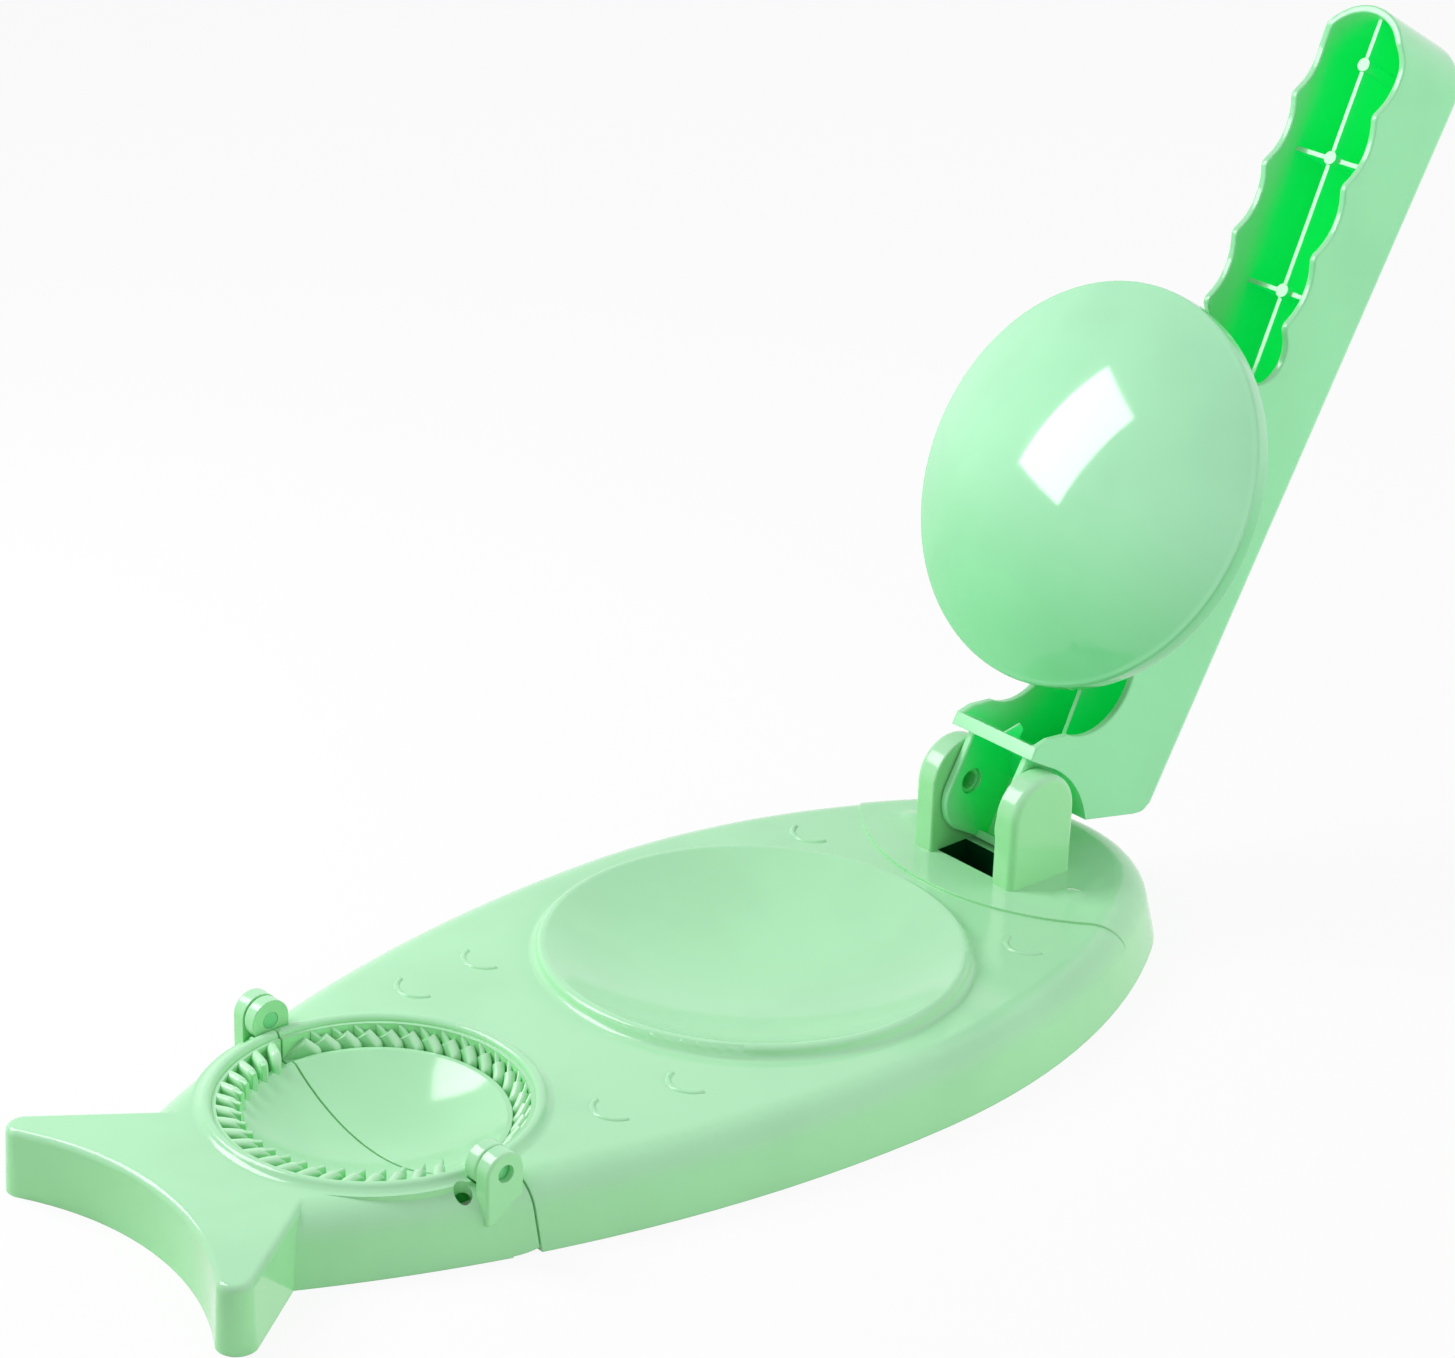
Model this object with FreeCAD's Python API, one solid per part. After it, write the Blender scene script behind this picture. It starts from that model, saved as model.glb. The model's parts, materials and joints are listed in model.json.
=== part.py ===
import FreeCAD, Part
import math
import os
from FreeCAD import Placement, Rotation, Vector

# Fish-shaped dough press with a folding crimping mould, in millimetres and degrees.
# x = 0, y = 0 lies under the press bowl's centre, z = 0 on the table, and the
# fish's head points along +X.

# Base and tail, one moulded outline
deck_height = 16.4
head_rise = 0.6
wall = 2.0
wall_draft = 13.4
edge_round = 9.0
side_arc_radius = 345.0
side_margin = 2.88
nose_radius = 46.4
nose_length = 40.1
gill_gap = 7.0
gill_radius = 60.5
rib_thickness = 2.4
cross_rib_shares = (-0.78, -0.4, 0.0, 0.4)

# Tail fin
tail_length = 59.4
tip_sweep = 6.3
tip_half_span = 40.0
tip_radius = 4.7
fin_root_length = 29.0
fin_root_half_width = 20.7
fin_draft = 2.0
fin_round = 1.8

# Press bowl
bowl_rim_radius = 50.5
bowl_rise = 3.0
bowl_floor_gap = 3.9
bowl_roll_radius = 1.7
bowl_foot_round = 2.2

# Crimping mould
mould_gap = 25.65
mould_crest_radius = 37.4
mould_rise = 1.6
mould_roll_radius = 1.4
mould_foot_round = 3.0
mould_floor_gap = 1.0
mould_lip_width = 1.2
mould_lip_drop = 5.4
ridge_width = 2.4
channel_width = 4.0
channel_depth = 7.0
fin_count = 19
fin_pitch = 8.5
crimp_thickness = 1.15
crimp_round = 0.4
crimp_drop = 1.5
front_crimp_slope = 3.6
front_crimp_swirl = 7.0
rear_crimp_swirl = 6.0
rear_crimp_overhang = 2.0

# Seam and hinge between base and tail
seam_gap = 0.5
seam_step = 6.05
mould_hinge_rise = 1.66
knuckle_radius = 5.0
knuckle_width = 3.6
knuckle_gap = 1.8
knuckle_round = 0.7
knuckle_clearance = 0.3
lug_width = 4.0
mould_pin_radius = 2.05
mould_pin_setback = 0.8
turning_clearance = 0.05
pocket_radius = 2.0

# Lever hinge
lever_hinge_gap = 29.7
lever_hinge_rise = 17.7
ear_radius = 10.7
ear_thickness = 6.8
ear_spacing = 21.7
ear_round = 2.0
ear_inner_round = 0.6
lever_pin_radius = 3.4
lever_pin_bore = 2.3
lever_pin_bore_depth = 5.0
lever_pin_reach = 4.7
lever_pin_setback = 0.7
socket_end_gap = 0.4
well_front_margin = 2.5
well_length = 10.0

# Lever handle, as lengths along the lever (s) and depths across it (t)
lever_lean = 60.5
lever_width = 28.2
lever_depth = 43.9
lever_wall = 2.0
lever_back_round = 3.0
grip_length = 83.2
grip_end_margin = 7.6
grip_cusp_count = 5
grip_cusp_depth = 14.2
grip_scallop = 3.6
grip_throat_depth = 19.6
grip_cusp_round = 2.5
lever_edge_round = 0.5
throat_length = 16.0
saddle_low_reach = 29.0
saddle_high_reach = 38.3
notch_radius = 15.2
notch_corner_round = 1.5
yoke_gap = 0.9
yoke_thickness = 3.4
yoke_front = 9.5
relief_start_depth = 20.0
relief_end = 2.4
heel_end = 8.6
heel_round = 4.5
rib_width = 1.2
grip_rib_tip_depth = 18.2
grip_rib_slope = 0.105
throat_rib_depth = 14.6
post_radius = 1.8
post_rise = 0.4
grip_post_shares = (0.1185, 0.5391, 0.8318)
grip_cross_rib_count = 2
cross_rib_drop = 0.8
bridge_thickness = 2.4

# Tongue under the lever's yoke
cheek_gap = 0.3
cheek_thickness = 2.25
tongue_front = 6.5
tongue_bottom = 12.9
tongue_corner = 9.9
tongue_round = 0.6
tongue_rear = 16.0
tongue_floor_front = 10.4
stop_gap = 0.15

# Press dome
dome_lean = 63.0
dome_overlap = 0.8
dome_band = 4.5
dome_edge_round = 1.1
dome_offset = 13.5
dough_gap = 1.5
dome_rib_count = 8
dome_rib_width = 1.6
dome_hub_radius = 7.0
dome_post_radius = 2.6
dome_post_length = 8.0
dome_post_spacing = 40.0
dome_boss_radius = 4.4

# Raised fish marks on the deck
scale_radius = 5.6
scale_bead_radius = 0.8
scale_bead_sink = 0.35
scale_sweep = 150.0
scale_spot_shares = ((1.089, 0.76), (-1.03, 0.741), (-1.446, 0.713))
eye_gap = 10.1
eye_radius = 4.4
eye_rise = 0.8

overrun = 5.0
edge_tolerance = 0.005

head_height = deck_height + head_rise
bowl_rim_height = deck_height + bowl_rise
bowl_floor = wall + bowl_floor_gap
mould_distance = bowl_rim_radius + mould_gap + mould_crest_radius
mould_x = -mould_distance
mould_crest_height = deck_height + mould_rise
mould_hinge_height = mould_crest_height + mould_hinge_rise
channel_outer_radius = mould_crest_radius - ridge_width
mould_lip_radius = channel_outer_radius - channel_width
lever_axis_x = bowl_rim_radius + lever_hinge_gap
lever_axis_height = head_height + lever_hinge_rise
head_reach = lever_axis_x + nose_length
gill_reach = bowl_rim_radius + gill_gap
draft_slope = math.tan(math.radians(wall_draft))
fin_slope = math.tan(math.radians(fin_draft))
knuckle_start = mould_crest_radius + knuckle_gap
knuckle_end = knuckle_start + knuckle_width
lug_start = knuckle_end + knuckle_clearance
lug_end = lug_start + lug_width
ear_start = ear_spacing / 2
ear_end = ear_start + ear_thickness
side_sag = side_arc_radius - math.sqrt(side_arc_radius ** 2 - mould_distance ** 2)
body_half_width = lug_end + side_margin + side_sag
fin_end_x = mould_x - tail_length
tip_x = fin_end_x - tip_sweep
hull_rear_x = fin_end_x + fin_root_length / 3
cheek_outer = ear_start - cheek_gap
cheek_inner = cheek_outer - cheek_thickness
saddle_start = lever_axis_x - saddle_low_reach
saddle_end = lever_axis_x + saddle_high_reach
notch_centre = saddle_start - notch_radius
yoke_start = ear_radius + yoke_gap
grip_cusp_start = saddle_end + throat_length
grip_cusp_pitch = (grip_length - grip_end_margin) / (grip_cusp_count - 1)
lever_end = grip_cusp_start + grip_length
grip_post_places = [grip_cusp_start + share * grip_length for share in grip_post_shares]
dome_radius = bowl_rim_radius + dome_overlap
tall = lever_axis_height + ear_radius + overrun


def line(start, end):
    return Part.LineSegment(start, end).toShape()


def arc(start, middle, end):
    return Part.Arc(start, middle, end).toShape()


def arc_about(centre, radius, first, last):
    points = []
    for angle in (first, (first + last) / 2, last):
        points.append(centre + Vector(radius * math.cos(angle), radius * math.sin(angle), 0))
    return arc(*points)


def face_of(edges):
    return Part.Face(Part.Wire(edges))


def polygon(points):
    return Part.Face(Part.makePolygon(points + points[:1]))


def upright(points):
    """Points given as (s, t) in the plane y = 0."""
    return [Vector(s, 0, t) for s, t in points]


def slab(face, half_width):
    """A face in the plane y = 0 thickened evenly to both sides."""
    raised = face.translated(Vector(0, -half_width, 0))
    return raised.extrude(Vector(0, 2 * half_width, 0))


def block(low, high):
    size = high - low
    return Part.makeBox(size.x, size.y, size.z, low)


def rod(radius, y_start, y_end, x=0.0, z=0.0):
    return Part.makeCylinder(radius, y_end - y_start, Vector(x, y_start, z), Vector(0, 1, 0))


def both_sides(shape):
    return [shape, shape.mirror(Vector(0, 0, 0), Vector(0, 1, 0))]


def round_top(solid, top, radius, keep_out_x):
    """Round the top edges, apart from those that lie in the plane x = keep_out_x."""
    edges = []
    for edge in solid.Edges:
        ends = [vertex.Point for vertex in edge.Vertexes]
        at_top = all(abs(point.z - top) < edge_tolerance for point in ends)
        on_cut = all(abs(point.x - keep_out_x) < edge_tolerance for point in ends)
        if at_top and not on_cut:
            edges.append(edge)
    return solid.makeFillet(radius, edges)


def middle_of(edge):
    return edge.valueAt((edge.FirstParameter + edge.LastParameter) / 2)


def round_side(solid, y, radius):
    """Round the edges in an upright plane y, as far as they rise over the deck."""
    edges = []
    for edge in solid.Edges:
        in_plane = all(abs(vertex.Y - y) < edge_tolerance for vertex in edge.Vertexes)
        if in_plane and edge.BoundBox.ZMax > deck_height:
            edges.append(edge)
    return solid.makeFillet(radius, edges)


# Outline of base and tail


def body_wire(inset, z):
    nose_x = head_reach - nose_radius
    front_radius = nose_x ** 2 + body_half_width ** 2 - nose_radius ** 2
    front_radius /= 2 * (body_half_width - nose_radius)
    front_y = body_half_width - front_radius
    rear_y = body_half_width - side_arc_radius
    turn = math.atan2(-front_y, nose_x)
    rear_radius = side_arc_radius - inset
    rear_turn = math.acos(hull_rear_x / rear_radius)
    rear_half = rear_y + math.sqrt(rear_radius ** 2 - hull_rear_x ** 2)
    up = math.pi / 2
    nose = arc_about(Vector(nose_x, 0, z), nose_radius - inset, -turn, turn)
    front = arc_about(Vector(0, front_y, z), front_radius - inset, turn, up)
    rear = arc_about(Vector(0, rear_y, z), rear_radius, up, rear_turn)
    front_low = arc_about(Vector(0, -front_y, z), front_radius - inset, -up, -turn)
    rear_low = arc_about(Vector(0, -rear_y, z), rear_radius, -rear_turn, -up)
    back = line(Vector(hull_rear_x, rear_half, z), Vector(hull_rear_x, -rear_half, z))
    return Part.Wire([rear_low, front_low, nose, front, rear, back])


def fin_wire(inset, z):
    end_radius = (tip_sweep ** 2 + tip_half_span ** 2 - tip_radius ** 2)
    end_radius /= 2 * (tip_radius + tip_sweep)
    end_centre_x = fin_end_x - end_radius
    tip = Vector(tip_x, tip_half_span, z)
    root = Vector(fin_end_x + fin_root_length, fin_root_half_width, z)
    run = tip - root
    heading = math.atan2(run.y, run.x) - math.asin(tip_radius / run.Length)
    side = Vector(math.sin(heading), -math.cos(heading), 0)
    side_start = root - side * inset
    side_end = tip + side * (tip_radius - inset)
    to_tip = tip - Vector(end_centre_x, 0, z)
    end_turn = math.atan2(to_tip.y, to_tip.x)
    tip_arc = arc_about(tip, tip_radius - inset, heading - math.pi / 2, math.pi + end_turn)
    end_centre = Vector(end_centre_x, 0, z)
    end_arc = arc_about(end_centre, end_radius + inset, end_turn, -end_turn)
    upper = [line(side_start, side_end), tip_arc]
    lower = [edge.mirror(Vector(0, 0, 0), Vector(0, 1, 0)) for edge in reversed(upper)]
    low_start = Vector(side_start.x, -side_start.y, z)
    return Part.Wire(upper + [end_arc] + lower + [line(low_start, side_start)])


def tapered(wire_maker, slope, inset, top, radius, keep_out_x):
    """A drafted block over a plan outline, with its top edge rounded."""
    floor = -overrun if inset else 0.0
    lower = wire_maker(inset + floor * slope, floor)
    upper = wire_maker(inset + top * slope, top)
    solid = Part.makeLoft([lower, upper], True, True)
    return round_top(solid, top, radius, keep_out_x)


def hull(inset, top, radius):
    return tapered(body_wire, draft_slope, inset, top, radius, hull_rear_x)


def fin(inset, top, radius):
    root_x = fin_end_x + fin_root_length
    return tapered(fin_wire, fin_slope, inset, top, radius, root_x)


def gill_cylinder():
    centre = Vector(gill_reach + gill_radius, 0, -overrun)
    return Part.makeCylinder(gill_radius, tall, centre)


def fish_outside():
    gill = gill_cylinder()
    head = hull(0, head_height, edge_round).common(gill)
    middle = hull(0, deck_height, edge_round).cut(gill)
    return head.fuse([middle, fin(0, deck_height, fin_round)]).removeSplitter()


def fish_inside():
    top = deck_height - wall
    inner_round = edge_round - wall
    inset = wall / math.cos(math.radians(wall_draft))
    return hull(inset, top, inner_round).fuse(fin(wall, top, fin_round))


# Seam: straight across the mould, stepped forwards outside the hinge


def prism(points):
    face = polygon([Vector(x, y, -2 * overrun) for x, y in points])
    return face.extrude(Vector(0, 0, tall + 2 * overrun))


def front_region(shrink):
    seam = mould_x + seam_gap / 2 + shrink
    side_seam = seam + seam_step
    step = knuckle_end - shrink
    far = head_reach + body_half_width
    wide = 2 * body_half_width
    half = [(seam, step), (side_seam, step), (side_seam, wide), (far, wide)]
    return prism(half + [(x, -y) for x, y in reversed(half)])


def rear_region(shrink):
    seam = mould_x - seam_gap / 2 - shrink
    side_seam = seam + seam_step
    step = lug_start + shrink
    far = tip_x - body_half_width
    wide = 2 * body_half_width
    half = [(seam, step), (side_seam, step), (side_seam, wide), (far, wide)]
    return prism(half + [(x, -y) for x, y in reversed(half)])


# Bowls, as half sections turned about an upright axis


def cavity_radius(rim_radius, roll_height, floor_height, roll_radius):
    """Radius of the sphere that touches the floor and the rim's roll."""
    drop = floor_height - roll_height
    return (rim_radius ** 2 + drop ** 2 - roll_radius ** 2) / (2 * (roll_radius - drop))


def section_arc(centre, radius, first, last):
    points = []
    for angle in (first, (first + last) / 2, last):
        points.append(centre + Vector(radius * math.cos(angle), 0, radius * math.sin(angle)))
    return arc(*points)


def turned(edges, x):
    solid = face_of(edges).revolve(Vector(0, 0, 0), Vector(0, 0, 1), 360)
    return solid.translated(Vector(x, 0, 0))


def foot_of(roll, roll_radius, foot_round):
    """Centre of the hollow round that carries a rolled rim down to the deck."""
    rise = deck_height + foot_round - roll.z
    run = math.sqrt((roll_radius + foot_round) ** 2 - rise ** 2)
    return Vector(roll.x + run, 0, deck_height + foot_round)


bowl_roll = Vector(bowl_rim_radius, 0, bowl_rim_height - bowl_roll_radius)
bowl_sphere = cavity_radius(bowl_rim_radius, bowl_roll.z, bowl_floor, bowl_roll_radius)
bowl_centre = Vector(0, 0, bowl_floor + bowl_sphere)


def press_bowl():
    down = -math.pi / 2
    to_roll = bowl_roll - bowl_centre
    rim_turn = math.atan2(to_roll.z, to_roll.x)
    inner = section_arc(bowl_centre, bowl_sphere, down, rim_turn)
    foot = foot_of(bowl_roll, bowl_roll_radius, bowl_foot_round)
    to_foot = foot - bowl_roll
    foot_turn = math.atan2(to_foot.z, to_foot.x)
    roll = section_arc(bowl_roll, bowl_roll_radius, rim_turn + math.pi, foot_turn)
    skirt = section_arc(foot, bowl_foot_round, foot_turn + math.pi, 3 * math.pi / 2)
    underside = deck_height - wall
    outer_sphere = bowl_sphere + wall
    outer_turn = math.asin((underside - bowl_centre.z) / outer_sphere)
    outer_run = outer_sphere * math.cos(outer_turn)
    edge_top = Vector(foot.x, 0, deck_height)
    edge_low = Vector(foot.x, 0, underside)
    outer_start = Vector(outer_run, 0, underside)
    outer = section_arc(bowl_centre, outer_sphere, outer_turn, down)
    low = bowl_centre - Vector(0, 0, outer_sphere)
    axis = line(low, bowl_centre - Vector(0, 0, bowl_sphere))
    lines = [line(edge_top, edge_low), line(edge_low, outer_start)]
    return turned([inner, roll, skirt] + lines + [outer, axis], 0)


def press_bowl_air():
    """Everything that the bowl must leave clear, down to the middle of its wall."""
    radius = bowl_sphere + wall / 2
    ball = Part.makeSphere(radius, bowl_centre)
    return ball.common(Part.makeCylinder(bowl_rim_radius, tall, Vector(0, 0, 0)))


mould_roll = Vector(mould_crest_radius, 0, mould_crest_height - mould_roll_radius)
lip_height = mould_crest_height - mould_lip_drop
channel_floor = mould_crest_height - channel_depth
lip_inner = mould_lip_radius - mould_lip_width
mould_floor = wall + mould_floor_gap
mould_depth = lip_height - mould_floor
mould_sphere = (lip_inner ** 2 + mould_depth ** 2) / (2 * mould_depth)
mould_centre = Vector(0, 0, mould_floor + mould_sphere)


def mould_ring():
    down = -math.pi / 2
    lip_turn = math.atan2(lip_height - mould_centre.z, lip_inner)
    inner = section_arc(mould_centre, mould_sphere, down, lip_turn)
    foot = foot_of(mould_roll, mould_roll_radius, mould_foot_round)
    to_foot = foot - mould_roll
    foot_turn = math.atan2(to_foot.z, to_foot.x)
    roll = section_arc(mould_roll, mould_roll_radius, math.pi, foot_turn)
    skirt = section_arc(foot, mould_foot_round, foot_turn + math.pi, 3 * math.pi / 2)
    underside = deck_height - wall
    below = channel_floor - wall
    outer_sphere = mould_sphere + wall
    outer_turn = math.asin((below - mould_centre.z) / outer_sphere)
    corners = [
        (foot.x, deck_height),
        (foot.x, underside),
        (channel_outer_radius + wall, underside),
        (channel_outer_radius + wall, below),
        (outer_sphere * math.cos(outer_turn), below),
    ]
    outside = Part.makePolygon(upright(corners)).Edges
    outer = section_arc(mould_centre, outer_sphere, outer_turn, down)
    low = mould_centre - Vector(0, 0, outer_sphere)
    axis = line(low, mould_centre - Vector(0, 0, mould_sphere))
    channel = [
        (lip_inner, lip_height),
        (mould_lip_radius, lip_height),
        (mould_lip_radius, channel_floor),
        (channel_outer_radius, channel_floor),
        (channel_outer_radius, mould_roll.z),
        (mould_crest_radius - mould_roll_radius, mould_roll.z),
    ]
    gutter = Part.makePolygon(upright(channel)).Edges
    return turned([inner] + gutter + [roll, skirt] + outside + [outer, axis], mould_x)


def mould_air():
    radius = channel_outer_radius + wall / 2
    middle = channel_floor - wall / 2
    centre = Vector(mould_x, 0, mould_centre.z)
    bowl = Part.makeSphere(mould_sphere + wall / 2, centre)
    bowl = bowl.common(Part.makeCylinder(lip_inner, tall, Vector(mould_x, 0, 0)))
    return bowl.fuse(Part.makeCylinder(radius, tall, Vector(mould_x, 0, middle)))


def crimp_fins(front):
    """The slanted teeth of one half, from the ridge in to the bowl's lip."""
    overlap = wall / 4
    swirl = front_crimp_swirl if front else -rear_crimp_swirl
    overhang = 0.0 if front else rear_crimp_overhang
    slope = front_crimp_slope if front else 0.0
    reach = channel_outer_radius - mould_lip_radius + mould_lip_width / 2 + overhang
    outer_top = mould_crest_height - crimp_drop
    inner_top = outer_top - slope
    low = channel_floor - overlap
    inner_low = low if front else lip_height - mould_lip_width
    side = upright([
        (channel_outer_radius + overlap, low),
        (channel_outer_radius + overlap, outer_top),
        (channel_outer_radius - reach, inner_top),
        (channel_outer_radius - reach, inner_low),
        (mould_lip_radius - mould_lip_width / 2, inner_low),
        (mould_lip_radius, low),
    ])
    tooth = slab(polygon(side), crimp_thickness / 2)
    crest = []
    for edge in tooth.Edges:
        start, end = [vertex.Point for vertex in edge.Vertexes]
        if abs(start.y - end.y) < edge_tolerance and min(start.z, end.z) > inner_top - edge_tolerance:
            crest.append(edge)
    tooth = tooth.makeFillet(crimp_round, crest)
    pivot = Vector(channel_outer_radius, 0, 0)
    lean = math.degrees(math.asin(math.sin(math.radians(swirl)) * mould_lip_radius / reach))
    tooth.rotate(pivot, Vector(0, 0, 1), lean)
    heading = 0.0 if front else 180.0
    teeth = []
    for index in range(fin_count):
        angle = heading + (index - (fin_count - 1) / 2) * fin_pitch
        copy = tooth.copy()
        copy.rotate(Vector(0, 0, 0), Vector(0, 0, 1), angle)
        teeth.append(copy.translated(Vector(mould_x, 0, 0)))
    return teeth


def mould_half(front, region):
    ring = mould_ring()
    return ring.fuse(crimp_fins(front)).common(region)


# Hinge between base and tail


def front_knuckle():
    drum = rod(knuckle_radius, knuckle_start, knuckle_end, mould_x, mould_hinge_height)
    low = Vector(mould_x + seam_gap / 2, knuckle_start, deck_height - wall)
    high = Vector(mould_x + knuckle_radius, knuckle_end, mould_hinge_height)
    knuckle = drum.fuse(block(low, high)).removeSplitter()
    return round_side(knuckle, knuckle_end, knuckle_round)


def rear_lug():
    drum = rod(knuckle_radius, lug_start, lug_end, mould_x, mould_hinge_height)
    low = Vector(mould_x - knuckle_radius, lug_start, deck_height / 2)
    high = Vector(mould_x + knuckle_radius, lug_end, mould_hinge_height)
    lug = drum.fuse(block(low, high)).removeSplitter()
    return round_side(lug, lug_end, knuckle_round)


def knuckle_pocket():
    radius = knuckle_radius + knuckle_clearance
    start = knuckle_start - knuckle_clearance
    return rod(radius, start, lug_start, mould_x, mould_hinge_height)


def mould_pin():
    end = lug_end - mould_pin_setback
    return rod(mould_pin_radius, knuckle_start, end, mould_x, mould_hinge_height)


# Fish marks


def scale_mark(x, y):
    bead = Part.Circle(Vector(scale_radius, 0, 0), Vector(0, 1, 0), scale_bead_radius)
    face = face_of([bead.toShape()])
    face.rotate(Vector(0, 0, 0), Vector(0, 0, 1), 180 - scale_sweep / 2)
    mark = face.revolve(Vector(0, 0, 0), Vector(0, 0, 1), scale_sweep)
    return mark.translated(Vector(x, y, deck_height - scale_bead_sink))


def eye():
    radius = (eye_radius ** 2 + eye_rise ** 2) / (2 * eye_rise)
    eye_side = ear_end + eye_gap
    centre = Vector(lever_axis_x, eye_side, head_height + eye_rise - radius)
    ball = Part.makeSphere(radius, centre)
    base = Vector(lever_axis_x, eye_side, head_height - eye_rise / 2)
    return ball.common(Part.makeCylinder(2 * eye_radius, overrun, base))


# Base


def hinge_ear():
    axis = Vector(lever_axis_x, 0, lever_axis_height)
    low = deck_height - wall / 2
    left = lever_axis_x - ear_radius
    right = lever_axis_x + ear_radius
    edges = [
        line(Vector(left, 0, low), Vector(right, 0, low)),
        line(Vector(right, 0, low), Vector(right, 0, axis.z)),
        section_arc(axis, ear_radius, 0, math.pi),
        line(Vector(left, 0, axis.z), Vector(left, 0, low)),
    ]
    plate = face_of(edges).translated(Vector(0, ear_start, 0))
    plate = plate.extrude(Vector(0, ear_thickness, 0))
    plate = round_side(plate, ear_end, ear_round)
    return round_side(plate, ear_start, ear_inner_round)


well_front = lever_axis_x - ear_radius + well_front_margin
well_rear = well_front + well_length


def well_casing():
    low = Vector(well_front - wall, -ear_start - wall, wall)
    high = Vector(well_rear + wall, ear_start + wall, deck_height)
    return block(low, high)


def well_air():
    low = Vector(well_front, -ear_start, -overrun)
    return block(low, Vector(well_rear, ear_start, tall))


def ear_socket():
    depth = lever_pin_reach + socket_end_gap
    start = ear_start - overrun
    radius = lever_pin_radius + turning_clearance
    return rod(radius, start, ear_start + depth, lever_axis_x, lever_axis_height)


def base_ribs():
    half = rib_thickness / 2
    top = deck_height - wall / 2
    ribs = [block(Vector(mould_x, -half, 0), Vector(well_front - wall / 2, half, top))]
    for share in cross_rib_shares:
        x = share * head_reach
        low = Vector(x - half, -body_half_width, 0)
        ribs.append(block(low, Vector(x + half, body_half_width, top)))
    return ribs


def base_body():
    region = front_region(0)
    outside = fish_outside().common(region)
    ribs = outside.common(Part.makeCompound(base_ribs()))
    shell = outside.cut(fish_inside().common(front_region(wall)))
    shell = shell.fuse([ribs, well_casing()])
    shell = shell.cut([press_bowl_air(), mould_air()])
    marks = []
    for along, aside in scale_spot_shares:
        marks.append(scale_mark(along * bowl_rim_radius, aside * bowl_rim_radius))
    pairs = [hinge_ear(), front_knuckle(), eye()] + marks
    parts = [press_bowl(), mould_half(True, region)]
    for piece in pairs:
        parts += both_sides(piece)
    shell = shell.fuse(parts)
    bore = rod(mould_pin_radius, knuckle_start - overrun / 2, lug_start, mould_x, mould_hinge_height)
    cuts = [well_air()] + both_sides(ear_socket()) + both_sides(bore)
    return shell.cut(cuts).removeSplitter()


# Tail


def swing_relief():
    """What a corner ahead of the hinge would scrape off the table, taken away."""
    reach = mould_hinge_height - knuckle_clearance
    wide = 2 * body_half_width
    keep = rod(reach, -wide, wide, mould_x, mould_hinge_height)
    low = Vector(mould_x, -wide, -overrun)
    high = Vector(mould_x + 2 * seam_step, wide, mould_hinge_height - knuckle_radius)
    return block(low, high).cut(keep)


def tail_flap():
    region = rear_region(0)
    outside = fish_outside().common(region)
    half = rib_thickness / 2
    spine = block(Vector(fin_end_x - wall, -half, 0), Vector(mould_x, half, deck_height - wall / 2))
    shell = outside.cut(fish_inside().common(rear_region(wall)))
    shell = shell.fuse(outside.common(spine)).cut(mould_air())
    shell = shell.fuse([mould_half(False, region)] + both_sides(rear_lug()))
    bore_radius = mould_pin_radius + turning_clearance
    bore = rod(bore_radius, knuckle_end, lug_end + overrun, mould_x, mould_hinge_height)
    pocket_x = mould_x - knuckle_radius - pocket_radius
    pocket_y = (knuckle_start + lug_start) / 2
    pocket = Part.makeCylinder(pocket_radius, tall, Vector(pocket_x, pocket_y, wall))
    cuts = [swing_relief()]
    for piece in (bore, knuckle_pocket(), pocket):
        cuts += both_sides(piece)
    return shell.cut(cuts).removeSplitter()


# Lever, built lying down with its hinge axis at the origin: s along X, t along Z


def place_lever(shape, lean):
    turn = Rotation(Vector(0, -1, 0), lean)
    hinge = Vector(lever_axis_x, 0, lever_axis_height)
    return shape.transformGeometry(Placement(hinge, turn).toMatrix())


def handle_plan(inset, low, high):
    """The handle seen from the front: straight sides and a round end."""
    half = lever_width / 2 - inset
    end_centre = lever_end - lever_width / 2
    start = -tongue_bottom
    edges = [
        line(Vector(start, -half, low), Vector(end_centre, -half, low)),
        arc_about(Vector(end_centre, 0, low), half, -math.pi / 2, math.pi / 2),
        line(Vector(end_centre, half, low), Vector(start, half, low)),
        line(Vector(start, half, low), Vector(start, -half, low)),
    ]
    return face_of(edges).extrude(Vector(0, 0, high - low))


def grip_edge():
    """The finger edge, from the handle's end to the throat below the first cusp."""
    edges = []
    depth = -grip_cusp_depth
    for index in reversed(range(grip_cusp_count - 1)):
        right = grip_cusp_start + (index + 1) * grip_cusp_pitch
        left = right - grip_cusp_pitch
        middle = (left + right) / 2
        edges.append(arc(*upright([(right, depth), (middle, depth - grip_scallop), (left, depth)])))
    throat = (grip_cusp_start + saddle_end) / 2
    wall_foot = depth + grip_scallop
    points = [(grip_cusp_start, depth), (throat, -grip_throat_depth), (saddle_end, wall_foot)]
    edges.append(arc(*upright(points)))
    return edges


def notch_corners():
    """The two corners where the wall steps from the notch up to the yoke."""
    shoulder = notch_centre - notch_radius
    yoke_end = yoke_start + yoke_thickness
    return [(shoulder, 0), ((shoulder + yoke_end) / 2, 2 * yoke_front / 3)]


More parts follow.
